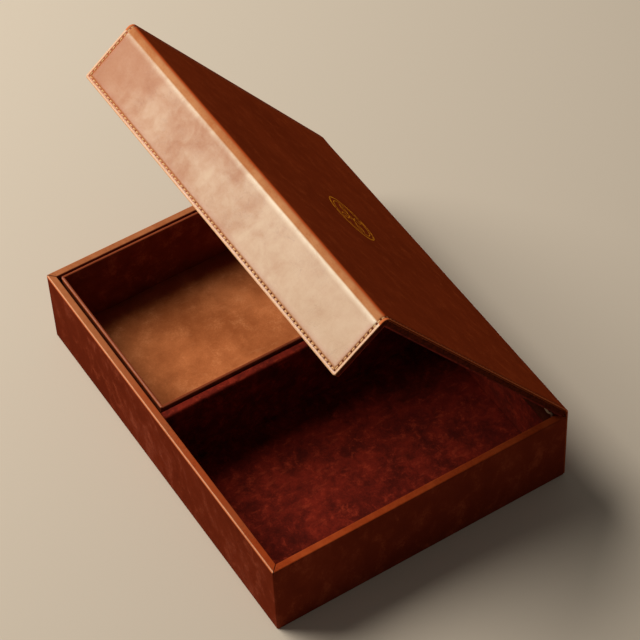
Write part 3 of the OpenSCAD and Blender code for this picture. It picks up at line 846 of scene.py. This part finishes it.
# A flat band along a closed or open line of (x, s) points, laid on the leather
def foilBand(line, width, closed):
    points, faces = [], []
    count = len(line)
    for i, (x, s) in enumerate(line):
        before = line[i - 1] if closed or i else line[0]
        after = line[(i + 1) % count] if closed or i < count - 1 else line[-1]
        ahead = Vector(after) - Vector(before)
        ahead.normalize()
        for sign, rise in ((-1, -0.06), (-1, ornament["rise"]), (1, ornament["rise"]), (1, -0.06)):
            px, ps = x - ahead.y * sign * width / 2, s + ahead.x * sign * width / 2
            points.append(sheetPoint(px, ps, rise - sheetDrop(px, ps)))
    for i in range(count if closed else count - 1):
        a, b = 4 * i, 4 * ((i + 1) % count)
        faces += [(a + k, b + k, b + (k + 1) % 4, a + (k + 1) % 4) for k in range(4)]
    if not closed:
        faces += [(3, 2, 1, 0), tuple(4 * count - 4 + k for k in range(4))]
    return points, faces


# An oval frame of two lines round four slim petals and a small ring
def buildOrnament(name, material):
    centreX, centreS = ornament["x"], lidStart + ornament["along"]
    halfX, halfS = ornament["length"] / 2, ornament["width"] / 2

    def oval(share, count, x=0.0, s=0.0, wide=1.0, high=1.0):
        return [(centreX + x + halfX * share * wide * math.cos(math.tau * i / count),
                 centreS + s + halfS * share * high * math.sin(math.tau * i / count)) for i in range(count)]

    bands = [(oval(1.0, 96), ornament["line"], True), (oval(0.82, 96), 0.8, True), (oval(0.12, 24), 1.0, True)]
    for dx, ds in ((1, 0), (-1, 0), (0, 1), (0, -1)):
        petal = []
        for i in range(40):
            a = math.tau * i / 40
            run, side = math.cos(a) * 0.28, math.sin(a) ** 3 * 0.13
            x = dx * (0.46 + run) * halfX + ds * side * halfX
            s = ds * (0.46 + run) * halfS + dx * side * halfS
            petal.append((centreX + x, centreS + s))
        bands.append((petal, 1.0, True))
    points, faces = [], []
    for line, width, closed in bands:
        morePoints, moreFaces = foilBand(line, width, closed)
        faces += [tuple(i + len(points) for i in f) for f in moreFaces]
        points += morePoints
    obj = newObject(name, points, faces, material, False)
    bmeshFix(obj.data)
    return obj


# Build
trayCentre = (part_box("tray_left_leather")[0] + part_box("tray_right_leather")[1]) / 2
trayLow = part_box("tray_left_leather")[0]
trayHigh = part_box("tray_right_leather")[1]


# Distance to the sheet's cut edges, whose wear and painted highlight reach less far on the lid than on the flap
def sheetEdge(place, less=0.9 * mm):
    along = place.part("Y")
    side = sheetSize["lidHalf"] * mm - abs(place.part("X"))
    side = side + along.ramp(flapStart * mm, (rollStart - 6) * mm) * less
    return side.least(pathEnd * mm - along)


# Distance to the inner hinge leather's raw ends, which get wear and a painted highlight
def hingeEdge(place):
    return abs(place.part("X")) * -1 + innerHinge["half"] * mm


# The flap is more polished than the lid's top, and its paler colour, creamier to the right, is painted highlight;
# the roll between them gets painted lit tones, orange and tan
def sheetPolishAndPaintedLight(place):
    fold = flapStart + crease["after"]
    return place.part("Y").ramp((fold - 0.4) * mm, (fold + 0.8) * mm)


def sheetRollPaintedLight(place):
    along = place.part("Y")
    return (along.ramp((rollStart + 0.6) * mm, (rollStart + 2.4) * mm),
            along.ramp((rollStart + 2.0) * mm, (rollStart + 5.0) * mm))


# Painted shade on the flap just inside the stitches, and a painted highlight along the fold
def sheetPaintedShade(place):
    onFlap = place.part("Y").ramp((flapStart + 4) * mm, (flapStart + 8) * mm)
    return sheetEdge(place, 0.0).ramp(8.5 * mm, 3.2 * mm) * onFlap


def sheetFoldHighlight(place):
    past = place.part("Y") - (flapStart + crease["after"]) * mm
    return past.ramp(-0.9 * mm, 0.1 * mm) * past.ramp(4.4 * mm, 0.4 * mm)


# Distance to the middle of the nearest stitch hole
def sheetHoles(place):
    line = (sheetSize["lidHalf"] - seam["inset"]) * mm
    first, last = seam["from"] * mm, (pathEnd - seam["inset"]) * mm
    across, along = abs(place.part("X")), place.part("Y")
    sidePitch, endPitch = (last - first) / sideCount, 2 * line / endCount
    sideStep = (along - first).maths("PINGPONG", along - first, sidePitch / 2)
    endStep = across.maths("PINGPONG", across + (endCount % 2) * endPitch / 2, endPitch / 2)
    side = ((across - line) ** 2 + sideStep ** 2) ** 0.5 + along.ramp(first - 2 * mm, first - 3 * mm)
    end = ((along - last) ** 2 + endStep ** 2) ** 0.5 + across.ramp(line + 1 * mm, line + 2 * mm)
    return side.least(end)


# 1 on the sheet's cut sides, which get the edge's own dark colour and painted shade
def sheetCut(place):
    beyond = abs(place.part("X")).ramp((sheetSize["lidHalf"] - 0.12) * mm, (sheetSize["lidHalf"] - 0.04) * mm)
    return beyond.most(place.part("Y").ramp((pathEnd - 0.12) * mm, (pathEnd - 0.04) * mm))


# Flap: left and right are paler colours that are painted highlight, creamier to the right; roll and rollPale are the
# roll's painted lit tones; shade is painted shade inside the stitches; the colour along the fold is a painted
# highlight; cut is the cut sides' own dark colour with painted shade
sheetLook = {**leatherLook, "roughness": 0.58, "polish": 0.2, "wax": (0.27, 0.45), "bloom": 0.0, "relief": 0.55,
             "deep": (127, 48, 20), "body": (145, 57, 25), "pale": (156, 67, 32), "wearAndHighlight": (232, 180, 134),
             "left": ((172, 106, 59), (183, 121, 75)), "right": ((187, 145, 102), (197, 157, 115)),
             "change": (-0.3, 0.3), "creaseShade": 0.14, "coatIor": 1.8, "roll": (190, 78, 32), "rollPale": ((180, 106, 60), (202, 140, 94)),
             "shade": (176, 96, 56), "foldHighlight": (238, 214, 180), "cut": (106, 42, 22),
             "hole": ((190, 110, 78), (122, 58, 32))}
sheetLeather = leather("sheet_leather", sheetLook, "grain", edgeOf=sheetEdge, polishAndPaintedLightOf=sheetPolishAndPaintedLight,
                       rollPaintedLightOf=sheetRollPaintedLight, holeOf=sheetHoles, cutOf=sheetCut, paintedShadeOf=sheetPaintedShade,
                       foldHighlightOf=sheetFoldHighlight, wornWidth=2.3 * mm, seed=2.0)
boxHalf = (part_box("right_cover")[1].x, -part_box("front_cover")[0].y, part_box("front_cover")[1].z)
# Box and tray rim tops are paler, partly wear and partly painted light on the lit top faces; their edges get wear
# and a painted highlight
wallLeather = leather("wall_leather", leatherLook, streak=(1.1, 1.1, 0.7), seed=5.0, wornWidth=1.5 * mm,
                      edgeOf=rimEdge((0, 0, boxHalf[2] / 2), (boxHalf[0], boxHalf[1], boxHalf[2] / 2), 0.9 * mm),
                      polishAndPaintedLightOf=rimTop(boxHalf[2]), seamOf=mitreOf(boxHalf))
trayLook = {**leatherLook, "deep": (104, 44, 26), "body": (140, 66, 40), "pale": (164, 88, 56),
            "left": ((126, 56, 32), (146, 72, 44)), "right": ((126, 56, 32), (146, 72, 44)),
            "wearAndHighlight": (160, 90, 60)}
trayLeather = leather("tray_leather", trayLook, seed=7.0, wornWidth=0.9 * mm, polishAndPaintedLightOf=rimTop(trayHigh.z),
                      edgeOf=rimEdge(trayCentre, (trayHigh - trayLow) / 2))
# The inner hinge leather's pale raw ends are partly wear, partly a painted highlight
hingeLook = {**leatherLook, "bloom": 0.1, "deep": (58, 24, 14), "body": (84, 38, 22), "pale": (100, 48, 30),
             "wearAndHighlight": (188, 162, 134)}
hingeLeather = leather("hinge_leather", hingeLook, "grain", edgeOf=hingeEdge, wornWidth=0.9 * mm, seed=9.0)
# Welt edges: a dark edge colour, darkened further as painted shade
edgeLeather = plain("edge_dye_and_shade", (88, 34, 18), 0.6, {"Specular IOR Level": 0.0}, grain=0.1 * mm)
suedeRed = suede("red_suede", suedeLook["redDeep"], suedeLook["redBody"], suedeLook["redPale"],
                 20 * mm, 0.17, 0.5, 0.75, 3.0)
# The tray floor's tan suede gets painted shade near the tray's walls
suedeTan = suede("tan_suede", suedeLook["tanDeep"], suedeLook["tanBody"], suedeLook["tanPale"],
                 50 * mm, 0.17, 0.15, 0.3, 8.0, wallDistance(*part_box("tray_floor_lining")), (140, 56, 24))
# Threads pale on the flap and darker on the lid's sides, the darker part painted shade; holes dark at the right,
# red-brown at the left
threadMaterial = graded("thread", (248, 196, 138), (146, 84, 54), "Y", -30 * mm, -16 * mm, 0.7, 0.1,
                        0.6 * mm, 0.86)
holeMaterial = graded("stitch_hole", (186, 104, 72), (112, 52, 26), "X", -60 * mm, 100 * mm, 0.9, 0.0,
                      2 * mm, 0.8)
foilMaterial = foil("gold_foil", (228, 148, 34), (140, 64, 22))
boardMaterial = plain("grey_board", (140, 128, 112), 0.9)
magnetMaterial = plain("magnet_steel", (160, 160, 165), 0.3, {"Metallic": 1.0})

sheet = buildSheet("lid_sheet", sheetLeather)
bmeshFix(sheet.data)
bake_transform(sheet)
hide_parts("spine_leather", "lid_leather")
print("sheet", len(sheet.data.polygons))

hinge = buildInnerHinge("inner_hinge", hingeLeather)
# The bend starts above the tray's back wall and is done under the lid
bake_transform(hinge)
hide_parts("back_hinge_strip", "lid_hinge_strip")

for side in ("front", "right", "back", "left"):
    softened(side + "_cover", wallLeather, 0.28, "box")
    softened(side + "_lining", suedeRed, 0.25, "box")
    softened("tray_" + side + "_leather", trayLeather, 0.12, "tray")
softened("divider_suede", suedeRed, 0.2, "box", roundTop=1.0)
softened("well_floor", suedeRed, 0.2, "box")
softened("base_sheet", wallLeather, 0.2, "box")
softened("lid_lining", suedeRed, 0.25, "lid")
softened("flap_lining", suedeRed, 0.25, "lid")
softened("tray_base_leather", trayLeather, 0.1, "tray")
for welt in ("left_lid_welt", "right_lid_welt", "left_flap_welt", "right_flap_welt", "lower_flap_welt"):
    softened(welt, edgeLeather, 0.25, "lid")
unevenSlab("deep_floor", suedeRed, 2.2, floorDip, "box", 2.0)
unevenSlab("tray_floor_lining", suedeTan, 2.2, trayDip, "tray", 6.0)
print("solids softened")

stitches = buildStitches("stitches", threadMaterial, holeMaterial)
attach(stitches, "lid")
print("stitches", len(stitches.data.polygons))
goldMark = buildOrnament("gold_mark", foilMaterial)
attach(goldMark, "lid")

for name, obj in frame["nodes"].items():
    if obj.hide_render:
        continue
    material = magnetMaterial if "magnet" in name else boardMaterial
    for place in obj.material_slots:
        place.material = material

# Floor, light and camera
studio = {
    "floor": (212, 200, 182), "keyFrom": (-0.58, -0.36, 0.73), "keyDistance": 2.4, "keySize": 1.9,
    "keyPower": 67.0, "keyColour": (1.0, 0.95, 0.88), "fill": 0.1, "fillColour": (1.0, 0.95, 0.89),
}
floorMesh = bpy.data.meshes.new("floor")
reach = 6.0
floorMesh.from_pydata([(-reach, -reach, 0), (reach, -reach, 0), (reach, reach, 0), (-reach, reach, 0)],
                      [], [(0, 1, 2, 3)])
floor = bpy.data.objects.new("floor", floorMesh)
bpy.context.scene.collection.objects.link(floor)
floorMesh.materials.append(Finish("floor_paint", {"Base Color": (*linear(studio["floor"]), 1),
                                                  "Roughness": 0.85,
                                                  "Specular IOR Level": 0.15}).material)

key = bpy.data.lights.new("key", "AREA")
key.shape = "DISK"
key.size = studio["keySize"]
key.energy = studio["keyPower"]
key.color = studio["keyColour"]
keyObject = bpy.data.objects.new("key", key)
direction = Vector(studio["keyFrom"]).normalized()
keyObject.location = direction * studio["keyDistance"]
keyObject.rotation_euler = direction.to_track_quat("Z", "Y").to_euler()
bpy.context.scene.collection.objects.link(keyObject)

world = bpy.data.worlds.new("studio")
world.use_nodes = True
world.node_tree.nodes["Background"].inputs["Color"].default_value = (*studio["fillColour"], 1)
world.node_tree.nodes["Background"].inputs["Strength"].default_value = studio["fill"]
bpy.context.scene.world = world

shot = {"azimuth": 60.3, "elevation": 49.62, "roll": -3.21, "distance": 1.9928,
        "target": (-0.06006, 0.05261, 0.0), "lens": 148.6}
camera = bpy.data.cameras.new("camera")
camera.lens = shot["lens"]
camera.sensor_width = 36
camera.clip_end = 20
turn = (Matrix.Rotation(math.radians(shot["azimuth"]), 3, "Z")
        @ Matrix.Rotation(math.pi / 2 - math.radians(shot["elevation"]), 3, "X")
        @ Matrix.Rotation(math.radians(shot["roll"]), 3, "Z"))
cameraObject = bpy.data.objects.new("camera", camera)
spot = Vector(shot["target"]) + turn @ Vector((0, 0, 1)) * shot["distance"]
cameraObject.matrix_world = Matrix.Translation(spot) @ turn.to_4x4()
bpy.context.scene.collection.objects.link(cameraObject)
bpy.context.scene.camera = cameraObject
bpy.context.scene.view_settings.view_transform = "Standard"
